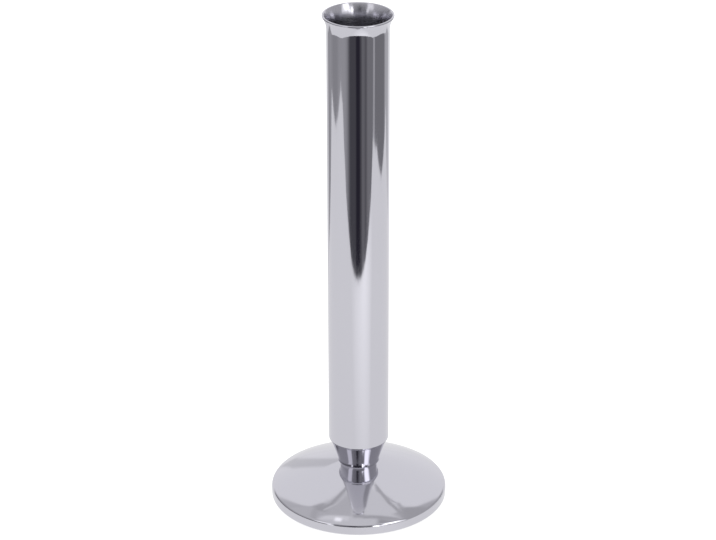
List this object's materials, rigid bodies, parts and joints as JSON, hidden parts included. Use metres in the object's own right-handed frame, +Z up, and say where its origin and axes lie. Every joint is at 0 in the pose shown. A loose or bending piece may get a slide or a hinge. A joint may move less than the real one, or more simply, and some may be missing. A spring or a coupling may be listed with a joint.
{
  "type": "stainless steel bud vase",
  "caption": "Tall slim round vase: a straight polished tube with a flared mouth on a short inverted cone and a weighted, domed round foot.",
  "frame": {"origin": "centre of the underside of the pad on which the vase stands", "axes": "+Z up along the axis of the tube; the vase is round, so X and Y are any two level directions"},
  "size_m": [0.065, 0.065, 0.19],
  "materials": {
    "polished_steel": "mirror-polished stainless steel",
    "inner_steel": "plain rolled stainless steel",
    "zinc_steel": "zinc-plated steel",
    "cast_iron": "rough cast",
    "pad_rubber": "matt foamed rubber"
  },
  "bodies": {
    "root": {"vase_tube": "polished_steel", "tube_bottom": "polished_steel", "threaded_stud": "zinc_steel", "neck_cone": "polished_steel", "foot_shell": "polished_steel", "ballast_weight": "cast_iron", "clamp_washer": "zinc_steel", "spring_washer": "zinc_steel", "hex_nut": "zinc_steel", "base_plate": "inner_steel", "base_pad": "pad_rubber"}
  },
  "joints": []
}
